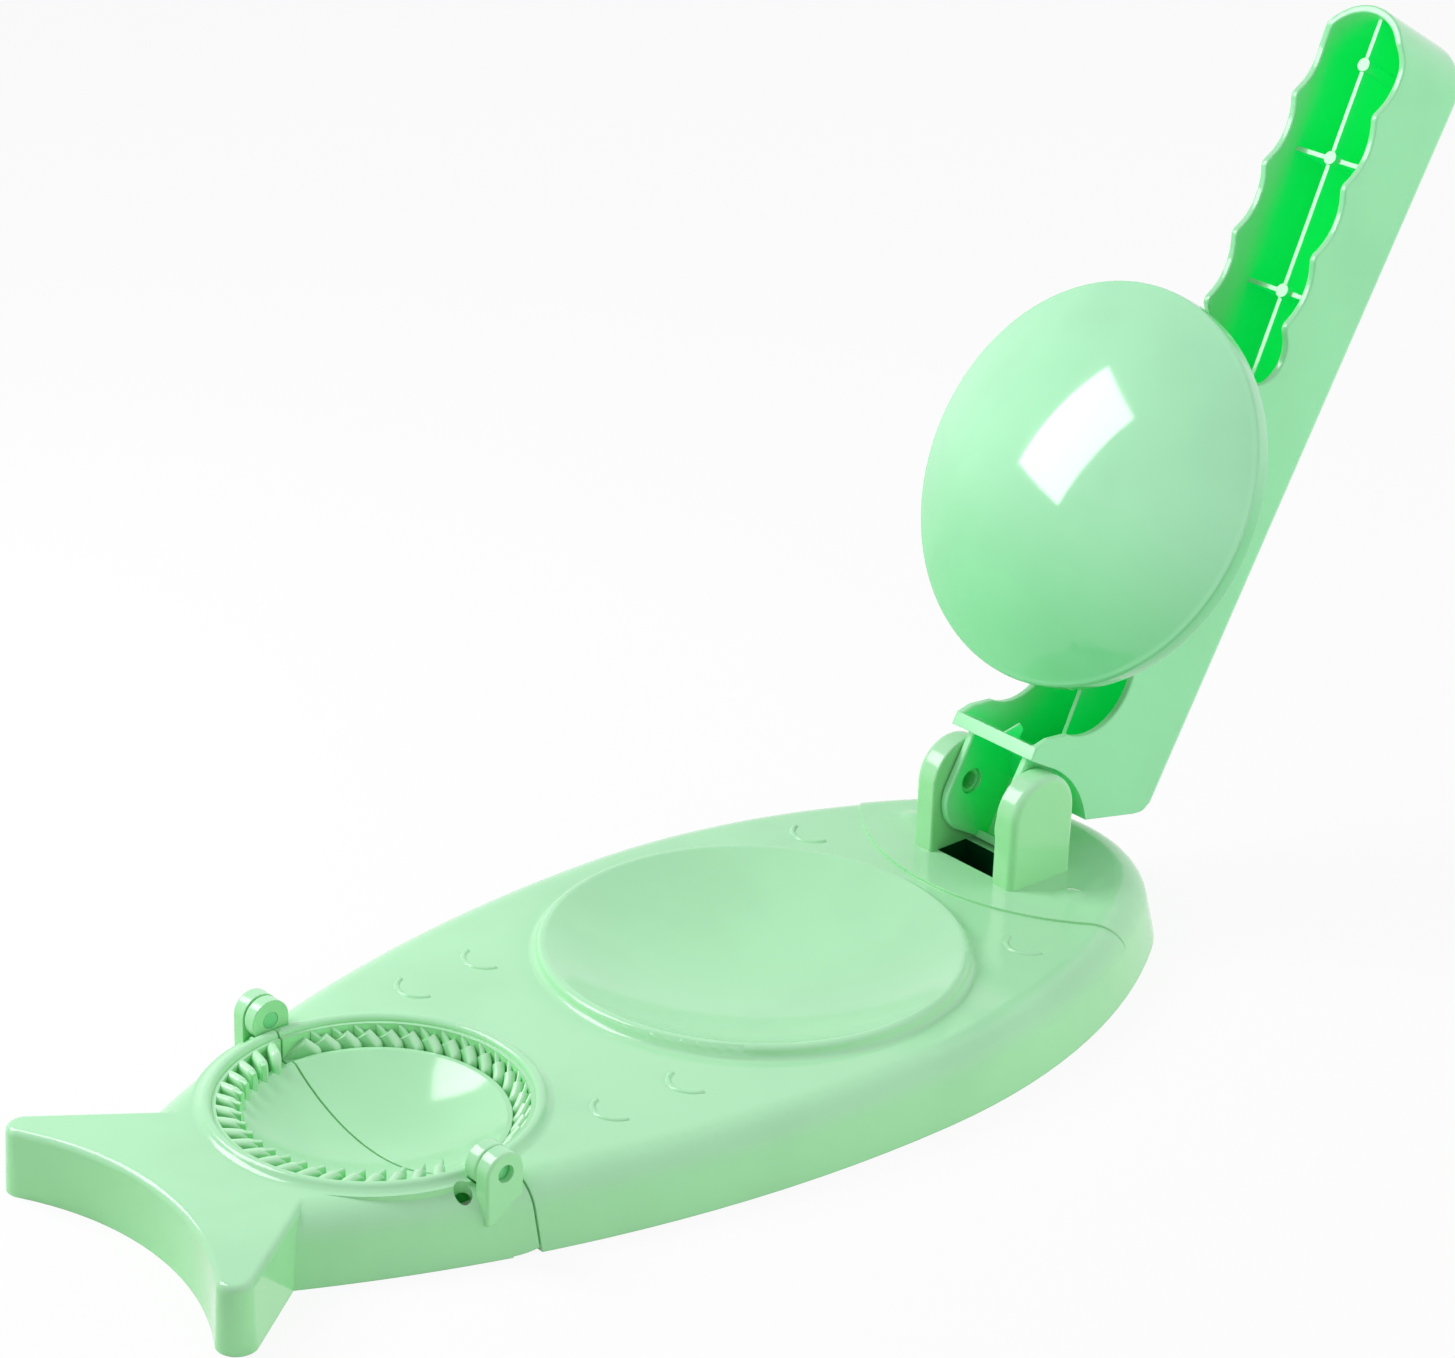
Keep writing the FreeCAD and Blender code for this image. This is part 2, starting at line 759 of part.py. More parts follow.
def handle_side():
    """Side view of the handle's walls, round the back, the grip and the hinge relief."""
    back = -lever_depth
    high = dome_offset + dome_band
    beyond = lever_end + overrun
    last_cusp = grip_cusp_start + (grip_cusp_count - 1) * grip_cusp_pitch
    tip = upright([(beyond, back), (beyond, -grip_cusp_depth), (last_cusp, -grip_cusp_depth)])
    edges = Part.makePolygon(tip).Edges + grip_edge()
    saddle = [(saddle_end, grip_scallop - grip_cusp_depth), (saddle_end, high)]
    saddle += [(saddle_start, high), (saddle_start, 0)]
    edges += Part.makePolygon(upright(saddle)).Edges
    notch = Vector(notch_centre, 0, 0)
    edges.append(section_arc(notch, notch_radius, 0, -math.pi))
    yoke_end = yoke_start + yoke_thickness
    yoke = notch_corners()
    yoke += [(yoke_end, yoke_front), (yoke_start, yoke_front), (yoke_start, wall)]
    edges += Part.makePolygon(upright(yoke)).Edges
    hollow = ((yoke_start + relief_end) / 2 + ear_radius / 4, -relief_start_depth / 2)
    heel_top = (relief_end, -relief_start_depth)
    edges.append(arc(*upright([(yoke_start, wall), hollow, heel_top])))
    heel_low = (heel_end, back + heel_round)
    heel_back = (heel_end + heel_round, back)
    bend = (heel_end + heel_round / 4, back + heel_round / 4)
    edges.append(line(*upright([heel_top, heel_low])))
    edges.append(arc(*upright([heel_low, bend, heel_back])))
    edges.append(line(*upright([heel_back, (beyond, back)])))
    return face_of(edges)


def handle_air_side():
    """Side view of the channel between the walls."""
    back = lever_wall - lever_depth
    high = dome_offset + dome_band + overrun
    floor = yoke_start + yoke_thickness
    shift = lever_wall
    hollow = ((yoke_start + relief_end) / 2 + ear_radius / 4 + shift, -relief_start_depth / 2)
    heel_top = (relief_end + shift, -relief_start_depth)
    edges = [arc(*upright([(floor, wall), hollow, heel_top]))]
    points = [heel_top, (heel_end + shift, back + heel_round), (heel_end + 2 * shift, back)]
    points += [(lever_end + overrun, back), (lever_end + overrun, high), (floor, high), (floor, wall)]
    edges += Part.makePolygon(upright(points)).Edges
    return face_of(edges)


def grip_rib_depth(place):
    return grip_rib_tip_depth + grip_rib_slope * (lever_end - place)


def handle_ribs():
    back = lever_wall / 2 - lever_depth
    half = rib_width / 2
    start = (saddle_start + saddle_end) / 2
    grip = [(start, back), (lever_end - lever_wall / 2, back)]
    grip += [(place, -grip_rib_depth(place)) for place in (lever_end - lever_wall / 2, start)]
    throat_start = yoke_start + yoke_thickness - lever_wall
    throat = [(heel_end + lever_wall, back), (start, back), (start, -throat_rib_depth)]
    throat += [(notch_centre, -throat_rib_depth), (throat_start, -throat_rib_depth - lever_wall)]
    gusset_end = yoke_start + 2 * yoke_thickness
    gusset = [(throat_start, 0), (gusset_end - lever_wall / 2, 0), (gusset_end, lever_wall)]
    gusset += [(throat_start, yoke_front - lever_wall / 2)]
    ribs = [slab(polygon(upright(points)), half) for points in (grip, throat)]
    ribs.append(slab(polygon(upright(gusset)), half / 2))
    wide = (lever_width - lever_wall) / 2
    for place in grip_post_places[:grip_cross_rib_count]:
        top = -grip_rib_depth(place) - cross_rib_drop
        ribs.append(block(Vector(place - half, -wide, back), Vector(place + half, wide, top)))
    for place in grip_post_places:
        height = -grip_rib_depth(place) + post_rise - back
        ribs.append(Part.makeCylinder(post_radius, height, Vector(place, 0, back)))
    return ribs


def dome_post_places():
    return [lever_axis_x - dome_post_spacing / 2, lever_axis_x + dome_post_spacing / 2]


def dome_to_lever(shape):
    """Turn a shape from the dome's lean to the lever's own."""
    return shape.rotated(Vector(0, 0, 0), Vector(0, -1, 0), dome_lean - lever_lean)


def handle_bridges():
    """Two plates across the channel, each with a socket for one of the dome's posts."""
    back_plane = dome_offset - dome_band
    wide = (lever_width - lever_wall) / 2
    half = bridge_thickness / 2
    plates = []
    for place in dome_post_places():
        low = Vector(place - half, -wide, lever_wall / 2 - lever_depth)
        plates.append(block(low, Vector(place + half, wide, back_plane)))
        depth = dome_post_length + bridge_thickness
        base = Vector(place, 0, back_plane - depth)
        plates.append(Part.makeCylinder(dome_boss_radius, depth, base))
    return [dome_to_lever(plate) for plate in plates]


def dome_seat_cut():
    """Everything in front of the dome's back plane, over the saddle."""
    low = Vector(notch_centre + notch_radius - overrun, -lever_width, dome_offset - dome_band)
    high = Vector(lever_axis_x + dome_radius, lever_width, dome_offset + tall)
    cuts = [block(low, high)]
    for place in dome_post_places():
        base = Vector(place, 0, dome_offset - dome_band - dome_post_length)
        cuts.append(Part.makeCylinder(dome_post_radius, tall, base))
    return [dome_to_lever(cut) for cut in cuts]


def stop_line(t):
    """Where a plane level with the deck, just above it, crosses depth t at rest."""
    lean = math.radians(lever_lean)
    drop = lever_axis_height - head_height - stop_gap
    return (-drop - t * math.cos(lean)) / math.sin(lean)


def tongue_outline():
    lean = math.radians(lever_lean)
    drop = lever_axis_height - head_height - stop_gap
    foot_front = (tongue_bottom * math.sin(lean) - drop) / math.cos(lean)
    centre = Vector(tongue_corner - tongue_bottom, 0, tongue_front - tongue_corner)
    top = yoke_start + lever_wall / 2
    corner = section_arc(centre, tongue_corner, math.pi / 2, math.pi)
    points = [(-tongue_bottom, centre.z), (-tongue_bottom, foot_front)]
    points += [(stop_line(-tongue_rear), -tongue_rear), (relief_end + 2 * lever_wall, -tongue_rear)]
    points += [(top - lever_wall, -relief_start_depth / 2), (top, 0), (top, tongue_front)]
    points += [(centre.x, tongue_front)]
    return face_of([corner] + Part.makePolygon(upright(points)).Edges)


def tongue_rim(body):
    """The cheeks' edges at the front and underneath, where the tongue turns."""
    centre = Vector(tongue_corner - tongue_bottom, 0, tongue_front - tongue_corner)
    edges = []
    for edge in body.Edges:
        middle = middle_of(edge)
        side = abs(middle.y)
        on_cheek = min(abs(side - cheek_outer), abs(side - cheek_inner)) < edge_tolerance
        run = math.hypot(middle.x - centre.x, middle.z - centre.z)
        on_corner = abs(run - tongue_corner) < edge_tolerance
        at_front = abs(middle.z - tongue_front) < edge_tolerance
        if on_cheek and (on_corner or at_front):
            edges.append(edge)
    return edges


def tongue():
    body = slab(tongue_outline(), cheek_outer)
    floor_top = lever_wall - tongue_bottom
    rear = lever_wall - tongue_rear
    low = -tongue_bottom - overrun
    front = tongue_front + overrun
    points = [(yoke_start, front), (low, front), (low, -tongue_floor_front)]
    points += [(floor_top, -tongue_floor_front), (floor_top, rear), (relief_end + lever_wall, rear)]
    points += [(yoke_start - lever_wall, -relief_start_depth / 2), (yoke_start, 0)]
    body = body.cut(slab(polygon(upright(points)), cheek_inner))
    body = body.makeFillet(tongue_round, tongue_rim(body))
    return body.cut(rod(lever_pin_radius, -cheek_outer - overrun, cheek_outer + overrun))


def across_edges(solid, places):
    """Edges straight across the handle through the given places (s, t)."""
    found = []
    for edge in solid.Edges:
        points = [middle_of(edge)] + [vertex.Point for vertex in edge.Vertexes]
        for s, t in places:
            if all(math.hypot(point.x - s, point.z - t) < edge_tolerance for point in points):
                found.append(edge)
    return found


def front_rim(solid, half_width):
    """The walls' front edges at the grip and the notch, this far from the middle."""
    end_centre = lever_end - lever_width / 2
    edges = []
    for edge in solid.Edges:
        middle = middle_of(edge)
        aside = abs(middle.y)
        if middle.x > end_centre:
            aside = math.hypot(middle.x - end_centre, middle.y)
        beyond = middle.x > saddle_end + edge_tolerance
        grip_top = grip_scallop - grip_cusp_depth + edge_tolerance
        at_grip = beyond and -grip_throat_depth - edge_tolerance < middle.z < grip_top
        before = yoke_start + edge_tolerance < middle.x < saddle_start - edge_tolerance
        at_notch = before and -notch_radius - edge_tolerance < middle.z
        if abs(aside - half_width) < edge_tolerance and (at_grip or at_notch):
            edges.append(edge)
    return edges


def handle_walls():
    """The channel of the handle alone, with its front edges rounded."""
    back = -lever_depth
    high = dome_offset + dome_band + overrun
    outer = handle_plan(0, back, high)
    rim = [edge for edge in outer.Edges if abs(edge.BoundBox.ZMax - back) < edge_tolerance]
    rim = [edge for edge in rim if edge.BoundBox.XMax > 0]
    outer = outer.makeFillet(lever_back_round, rim)
    outer = outer.common(slab(handle_side(), lever_width))
    cusps = []
    for index in range(grip_cusp_count):
        cusps.append((grip_cusp_start + index * grip_cusp_pitch, -grip_cusp_depth))
    outer = outer.makeFillet(grip_cusp_round, across_edges(outer, cusps))
    outer = outer.makeFillet(notch_corner_round, across_edges(outer, notch_corners()))
    outer = outer.makeFillet(lever_edge_round, front_rim(outer, lever_width / 2))
    air = handle_plan(lever_wall, back + lever_wall, high + overrun)
    air = air.common(slab(handle_air_side(), lever_width))
    shell = outer.cut(air)
    return shell.makeFillet(lever_edge_round, front_rim(shell, lever_width / 2 - lever_wall))


def lever_handle():
    shell = handle_walls()
    shell = shell.fuse(handle_ribs() + handle_bridges() + [tongue()])
    shell = shell.cut(dome_seat_cut()).removeSplitter()
    return place_lever(shell, lever_lean)


def lever_pin():
    start = cheek_inner + lever_pin_setback
    end = ear_start + lever_pin_reach
    pin = rod(lever_pin_radius, start, end, lever_axis_x, lever_axis_height)
    bore_end = start + lever_pin_bore_depth
    return pin.cut(rod(lever_pin_bore, start - overrun, bore_end, lever_axis_x, lever_axis_height))


# Press dome, built lying down about its own axis


def dome_shell():
    outer = bowl_sphere - dough_gap
    rim_height = lever_axis_height - dome_offset
    centre_height = bowl_centre.z - rim_height
    outer_run = math.sqrt(outer ** 2 - centre_height ** 2)
    centre = Vector(0, 0, -centre_height)
    up = math.pi / 2
    outer_turn = math.atan2(centre_height, outer_run)
    cap = section_arc(centre, outer, up, outer_turn)
    inner = outer - wall
    inner_radius = dome_radius - wall
    inner_turn = math.acos(inner_radius / inner)
    inner_cap = section_arc(centre, inner, inner_turn, up)
    edge = Vector(dome_radius, 0, -dome_edge_round)
    lip = (dome_radius + outer_run) / 2 + dome_edge_round / 4
    corner = arc(Vector(outer_run, 0, 0), Vector(lip, 0, -dome_edge_round / 3), edge)
    back = -dome_band
    inner_top = centre + Vector(inner_radius, 0, inner * math.sin(inner_turn))
    points = [edge, Vector(dome_radius, 0, back), Vector(inner_radius, 0, back), inner_top]
    walls = Part.makePolygon(points).Edges
    axis = line(centre + Vector(0, 0, inner), centre + Vector(0, 0, outer))
    return turned([cap, corner] + walls + [inner_cap, axis], 0)


def dome_inside():
    """The dome filled up to the middle of its wall, for trimming what is inside it."""
    outer = bowl_sphere - dough_gap - wall / 2
    centre_height = bowl_centre.z - lever_axis_height + dome_offset
    ball = Part.makeSphere(outer, Vector(0, 0, -centre_height))
    radius = dome_radius - wall / 2
    base = Vector(0, 0, -dome_band)
    return ball.common(Part.makeCylinder(radius, lever_depth, base))


def press_dome():
    inside = dome_inside()
    height = lever_depth
    pieces = [Part.makeCylinder(dome_hub_radius, height, Vector(0, 0, -dome_band))]
    half = dome_rib_width / 2
    for index in range(dome_rib_count):
        rib = block(Vector(0, -half, -dome_band), Vector(dome_radius, half, height))
        pieces.append(rib.rotated(Vector(0, 0, 0), Vector(0, 0, 1), 360 * index / dome_rib_count))
    posts = []
    for side in (-1, 1):
        x = side * dome_post_spacing / 2
        boss = Part.makeCylinder(dome_boss_radius, height, Vector(x, 0, -dome_band))
        pieces.append(boss)
        base = Vector(x, 0, -dome_band - dome_post_length)
        posts.append(Part.makeCylinder(dome_post_radius, dome_post_length + dome_band, base))
    trimmed = [inside.common(piece) for piece in pieces]
    dome = dome_shell().fuse(trimmed + posts).removeSplitter()
    dome.translate(Vector(lever_axis_x, 0, dome_offset))
    return place_lever(dome, dome_lean)


def save(shape, name):
    shape.exportStep("parts/" + name + ".step")
    box = shape.BoundBox
    print(name, "solids", len(shape.Solids), "valid", shape.isValid(), "volume", round(shape.Volume))
    print("   x", round(box.XMin, 1), round(box.XMax, 1), "y", round(box.YMin, 1),
          round(box.YMax, 1), "z", round(box.ZMin, 1), round(box.ZMax, 1))


os.makedirs("parts", exist_ok=True)
mould_pin_far, mould_pin_near = both_sides(mould_pin())
lever_pin_far, lever_pin_near = both_sides(lever_pin())
save(base_body(), "base_body")
save(tail_flap(), "tail_flap")
save(lever_handle(), "lever_handle")
save(press_dome(), "press_dome")
save(lever_pin_near, "lever_pin_near")
save(lever_pin_far, "lever_pin_far")
save(mould_pin_near, "mould_pin_near")
save(mould_pin_far, "mould_pin_far")
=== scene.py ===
import json
import math

import bmesh
import bpy
from mathutils import Matrix, Vector


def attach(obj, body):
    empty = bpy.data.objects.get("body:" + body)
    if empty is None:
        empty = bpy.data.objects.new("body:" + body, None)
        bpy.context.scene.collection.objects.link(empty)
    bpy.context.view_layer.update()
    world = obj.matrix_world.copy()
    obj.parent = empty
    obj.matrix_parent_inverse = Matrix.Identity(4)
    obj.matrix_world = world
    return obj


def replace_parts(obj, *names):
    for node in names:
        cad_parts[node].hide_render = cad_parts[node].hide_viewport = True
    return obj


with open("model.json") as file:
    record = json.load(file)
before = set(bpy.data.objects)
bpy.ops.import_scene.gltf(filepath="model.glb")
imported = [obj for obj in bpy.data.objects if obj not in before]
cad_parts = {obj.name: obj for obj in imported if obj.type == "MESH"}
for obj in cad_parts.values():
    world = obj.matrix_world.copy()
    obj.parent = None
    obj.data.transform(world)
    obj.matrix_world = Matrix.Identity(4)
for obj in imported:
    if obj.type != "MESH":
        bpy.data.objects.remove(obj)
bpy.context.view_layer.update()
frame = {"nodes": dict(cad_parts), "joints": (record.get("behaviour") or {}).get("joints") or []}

mm = 0.001
print("frame loaded:", ", ".join(sorted(frame["nodes"])))


# Node helpers

class Signal:  # one output of a node, so that a formula reads as a formula
    def __init__(self, board, socket):
        self.board = board
        self.socket = socket

    def maths(self, operation, *values):
        return self.board.node("ShaderNodeMath", {"operation": operation}, dict(enumerate(values)))

    def __add__(self, other):
        return self.maths("ADD", self, other)

    def __sub__(self, other):
        return self.maths("SUBTRACT", self, other)

    def __rsub__(self, other):
        return self.maths("SUBTRACT", other, self)

    def __mul__(self, other):
        return self.maths("MULTIPLY", self, other)

    def __truediv__(self, other):
        return self.maths("DIVIDE", self, other)

    __radd__ = __add__
    __rmul__ = __mul__

    def root(self):
        return self.maths("SQRT", self)

    def atLeast(self, other):
        return self.maths("MAXIMUM", self, other)

    def moreThan(self, other):
        return self.maths("GREATER_THAN", self, other)

    def eased(self, low, high):  # 0 up to low, 1 from high on, smooth between
        sockets = {"Value": self, "From Min": low, "From Max": high}
        return self.board.node("ShaderNodeMapRange", {"interpolation_type": "SMOOTHSTEP"}, sockets)


class Board:  # the node tree of one material, the world or one Geometry Nodes group
    def __init__(self, tree):
        self.tree = tree
        tree.nodes.clear()

    def node(self, kind, settings=None, sockets=None, output=0):
        made = self.tree.nodes.new(kind)
        for name, value in (settings or {}).items():
            setattr(made, name, value)
        for key, value in (sockets or {}).items():
            if isinstance(value, Signal):
                self.tree.links.new(value.socket, made.inputs[key])
            else:
                made.inputs[key].default_value = value
        return Signal(self, made.outputs[output] if made.outputs else None)

    def mixed(self, factor, first, second):  # two colours
        return self.node("ShaderNodeMix", {"data_type": "RGBA"}, {0: factor, 6: first, 7: second}, 2)

    def joined(self, x, y, z):
        return self.node("ShaderNodeCombineXYZ", None, {0: x, 1: y, 2: z})

    def split(self, vector):
        parts = self.node("ShaderNodeSeparateXYZ", None, {0: vector}).socket.node
        return [Signal(self, parts.outputs[axis]) for axis in range(3)]

    def noise(self, place, scale, detail):
        return self.node("ShaderNodeTexNoise", None, {"Vector": place, "Scale": scale, "Detail": detail})

    def attribute(self, name):
        return self.node("ShaderNodeAttribute", {"attribute_name": name}, output="Fac")


# Plastic

white = (1, 1, 1, 1)
black = (0, 0, 0, 1)

bodyLook = {
    "pale": (0.43, 0.82, 0.495, 1),  # painted light: faces that look up, made paler as if lit from above
    "side": (0.365, 0.84, 0.4, 1),  # painted shade: faces that don't, made darker and greener as if in shade
    "upFull": 0.8,  # the upward part of the normal from which a face is fully pale
    "deep": (0.005, 0.82, 0.12, 1),  # painted shade: recesses, coloured as the green light thrown to and fro there
    "dark": (0.0, 0.05, 0.015, 1),  # painted shade: the well between the hinge ears, where no light gets in
    "cloud": 0.94,  # the level of the slightly darker clouds in the plastic
    "cloudScale": 24.0,
    "cloudStart": 0.42,
    "cloudFull": 0.7,
    "recessReach": 14 * mm,
    "recessStart": 0.6,
    "recessFull": 1.0,
    "frontPale": 0.8,  # how much of the painted recess shade a marked front face leaves out
    "glow": (0.0, 0.02, 0.005, 1),  # painted glow: emission in a recess, standing in for light come through the thin walls
    "glowStart": 10 * mm,  # the heights between which this painted glow sets in
    "glowFull": 65 * mm,
    "roughness": 0.12,
    "smearDepth": 0.1,
    "smearScale": 60.0,
    "refraction": 1.47,
    "coat": 0.0,
    "coatRoughness": 0.04,
    "edgeRound": 0.3 * mm,
    "grainHeight": 0.01 * mm,
    "grainScale": 1400.0,
}
leverLook = dict(
    bodyLook,
    pale=(0.38, 0.86, 0.48, 1),
    side=(0.335, 0.87, 0.45, 1),
    deep=(0.02, 0.84, 0.19, 1),
    recessReach=22 * mm,
    recessStart=0.25,
    recessFull=0.6,
    glow=(0.0, 0.14, 0.035, 1),
)
domeLook = dict(
    bodyLook,
    pale=(0.38, 0.83, 0.49, 1),
    side=(0.2, 0.7, 0.3, 1),
    upFull=0.5,
    roughness=0.09,
    coat=0.5,
    grainHeight=0.003 * mm,
)
pinLook = dict(bodyLook, pale=(0.24, 0.76, 0.33, 1), side=(0.2, 0.72, 0.3, 1))
toothLook = dict(bodyLook, pale=(0.52, 0.88, 0.57, 1), side=(0.4, 0.82, 0.45, 1), recessReach=4 * mm)


def mintColour(board, place, recess, look):
    facing = board.node("ShaderNodeTexCoord", output="Normal")
    product = {"operation": "DOT_PRODUCT"}
    upward = board.node("ShaderNodeVectorMath", product, {0: facing, 1: (0, 0, 1)}, "Value")
    # painted light and shade: faces that look up get the pale colour and the others the darker side colour,
    # by their normal
    surface = board.mixed(upward.eased(0.0, look["upFull"]), look["side"], look["pale"])
    cloud = board.noise(place, look["cloudScale"], detail=3.0).eased(look["cloudStart"], look["cloudFull"])
    level = 1 - cloud * (1 - look["cloud"])
    clouded = board.node("ShaderNodeVectorMath", {"operation": "SCALE"}, {"Vector": surface, "Scale": level})
    shaded = board.mixed(recess, clouded, look["deep"])
    # painted shade on the marked well faces
    return board.mixed(board.attribute("paintedShadeFace"), shaded, look["dark"])


def mintBump(board, place, look):
    grain = board.noise(place, look["grainScale"], detail=2.0)
    softEdge = board.node("ShaderNodeBevel", {"samples": 4}, {"Radius": look["edgeRound"]})
    sockets = {"Strength": 1.0, "Distance": look["grainHeight"], "Height": grain, "Normal": softEdge}
    return board.node("ShaderNodeBump", None, sockets)


def mintPlastic(name, look):
    material = bpy.data.materials.new(name)
    material.use_nodes = True
    board = Board(material.node_tree)
    place = board.node("ShaderNodeTexCoord", output="Object")
    nearby = {"samples": 8, "only_local": True}
    # painted shade: an occlusion mask turns recesses to the deep green
    openness = board.node("ShaderNodeAmbientOcclusion", nearby, {"Distance": look["recessReach"]}, "AO")
    kept = 1 - board.attribute("frontFace") * look["frontPale"]
    recess = (1 - openness).eased(look["recessStart"], look["recessFull"]) * kept
    # painted glow: emission in recesses, stronger higher up, in place of light through the thin walls
    lit = board.split(place)[2].eased(look["glowStart"], look["glowFull"])
    smear = board.noise(place, look["smearScale"], detail=4.0)
    plastic = board.node(
        "ShaderNodeBsdfPrincipled",
        None,
        {
            "Base Color": mintColour(board, place, recess, look),
            "Roughness": look["roughness"] + (smear - 0.5) * look["smearDepth"],
            "IOR": look["refraction"],
            "Normal": mintBump(board, place, look),
            "Coat Weight": look["coat"],
            "Coat Roughness": look["coatRoughness"],
            "Emission Color": board.mixed(recess * lit, black, look["glow"]),
            "Emission Strength": 1.0,
        },
    )
    board.node("ShaderNodeOutputMaterial", None, {"Surface": plastic})
    return material


bodyPlastic = mintPlastic("bodyMint", bodyLook)
leverPlastic = mintPlastic("leverMint", leverLook)
domePlastic = mintPlastic("domeMint", domeLook)
pinPlastic = mintPlastic("pinMint", pinLook)
toothPlastic = mintPlastic("toothMint", toothLook)
print("plastics made")


# Meshes

def newPiece(name, mesh, material, body):
    piece = bpy.data.objects.new(name, mesh)
    bpy.context.scene.collection.objects.link(piece)
    mesh.materials.clear()
    mesh.materials.append(material)
    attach(piece, body)
    return piece


def smoothMesh(name, shape, crease):  # smooth faces, with a sharp edge wherever the surface turns more
    for face in shape.faces:
        face.smooth = True
    for edge in shape.edges:
        edge.smooth = edge.calc_face_angle(0) < crease
    mesh = bpy.data.meshes.new(name)
    shape.to_mesh(mesh)
    shape.free()
    return mesh


def evenNormals(piece):  # large flat faces lead the shading of the small ones beside them
    modifier = piece.modifiers.new("evenNormals", "WEIGHTED_NORMAL")
    modifier.keep_sharp = True
    modifier.weight = 100


def markFaces(piece, name, chosen):  # 1 on the chosen faces, for the material to read
    marks = [float(chosen(face)) for face in piece.data.polygons]
    piece.data.attributes.new(name, "FLOAT", "FACE").data.foreach_set("value", marks)


shellChoices = {
    "weld": 0.002 * mm,
    "crease": math.radians(32),
}


def mouldedShell(name, node, material, body, refine=None):
    shape = bmesh.new()
    shape.from_mesh(frame["nodes"][node].data)
    bmesh.ops.remove_doubles(shape, verts=shape.verts, dist=shellChoices["weld"])
    if refine:
        refine(shape)
    piece = newPiece(name, smoothMesh(name, shape, shellChoices["crease"]), material, body)
    evenNormals(piece)
    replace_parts(piece, node)
    return piece


joints = {joint["name"]: Vector(joint["pos_m"]) for joint in frame["joints"]}
leverHinge = joints["lever_hinge"]
tailHinge = joints["tail_hinge"]


def leanFrame(hinge, lean):  # x along the lever, y across the fish, z out of the channel's open front
    turn = math.radians(lean)
    along = Vector((math.cos(turn), 0, math.sin(turn)))
    front = Vector((-math.sin(turn), 0, math.cos(turn)))
    across = Vector((0, 1, 0))
    return Matrix.Translation(hinge) @ Matrix((along, across, front)).transposed().to_4x4()


# Base and tail

wellChoices = {  # a box round the well's walls
    "low": (65.2 * mm, -11.2 * mm, -1 * mm),
    "high": (88.6 * mm, 11.2 * mm, 16.4 * mm),
}


def inWell(face):
    box = zip(face.center, wellChoices["low"], wellChoices["high"])
    return all(low < place < high for place, low, high in box)


baseShell = mouldedShell("baseShell", "base_body", bodyPlastic, "base")
# painted shade: the well's faces are marked to take the near black colour
markFaces(baseShell, "paintedShadeFace", inWell)
mouldedShell("tailShell", "tail_flap", bodyPlastic, "tail")


# Lever

leverChoices = {
    "lean": 60.5,
    "deepestEdge": -34 * mm,  # faces that look forwards nearer the front than this keep most of the painted recess shade off
    "facing": 0.93,
}
leverFrame = leanFrame(leverHinge, leverChoices["lean"])
heelChoices = {
    "corner": (10.04 * mm, -43.9 * mm),  # where the heel's slope would meet the back
    "slope": (-0.3044, 0.9525),
    "radius": 9.5 * mm,
}


def roundHeel(shape):  # a fuller rounding of the corner below the hinge
    corner = Vector(heelChoices["corner"])
    slope = Vector(heelChoices["slope"])
    radius = heelChoices["radius"]
    reach = radius * (1 + slope.x) / slope.y
    centre = corner + Vector((reach, radius))
    for start, heading in ((corner + Vector((reach, 0)), Vector((1, 0))), (corner + slope * reach, slope)):
        place = leverFrame @ Vector((start.x, 0, start.y))
        normal = leverFrame.to_3x3() @ Vector((heading.x, 0, heading.y))
        everything = shape.verts[:] + shape.edges[:] + shape.faces[:]
        bmesh.ops.bisect_plane(shape, geom=everything, plane_co=place, plane_no=normal)
    toLever = leverFrame.inverted()
    for vertex in shape.verts:
        along, across, depth = toLever @ vertex.co
        spot = Vector((along, depth))
        out = spot - centre
        inCorner = along < centre.x and (spot - corner).dot(slope) < reach
        if inCorner and out.length > radius:
            along, depth = centre + out.normalized() * radius
            vertex.co = leverFrame @ Vector((along, across, depth))


def looksForward(face):
    front = leverFrame.col[2].xyz
    depth = (face.center - leverHinge).dot(front)
    return face.normal.dot(front) > leverChoices["facing"] and depth > leverChoices["deepestEdge"]


leverShell = mouldedShell("leverShell", "lever_handle", leverPlastic, "lever", roundHeel)
markFaces(leverShell, "frontFace", looksForward)
print("shells smoothed")


# Press dome, a turned shell with ribs behind

domeSizes = {
    "lean": 63.0,
    "along": 80.2 * mm,  # from the lever's hinge to the dome's axis
    "offset": 13.5 * mm,
    "sphere": 98.0 * mm,
    "radius": 51.3 * mm,
    "rise": 13.85 * mm,
    "band": 4.5 * mm,
    "edgeRound": 1.1 * mm,
    "wall": 2.0 * mm,
    "hub": 7.0 * mm,
    "post": 2.6 * mm,
    "boss": 4.4 * mm,
    "postSpacing": 40 * mm,
    "postLength": 8 * mm,
    "ribCount": 8,
    "ribWidth": 1.6 * mm,
    "ribSteps": 26,
    "capSteps": 44,
    "turnSteps": 144,
    "edgeSteps": 6,
    "softSteps": 3,
    "hubSteps": 48,
    "postSteps": 32,
    "crease": math.radians(40),
}


def arcPoints(centre, radius, first, last, steps):
    points = []
    for step in range(steps + 1):
        angle = math.radians(first + (last - first) * step / steps)
        points.append((centre[0] + radius * math.cos(angle), centre[1] + radius * math.sin(angle)))
    return points


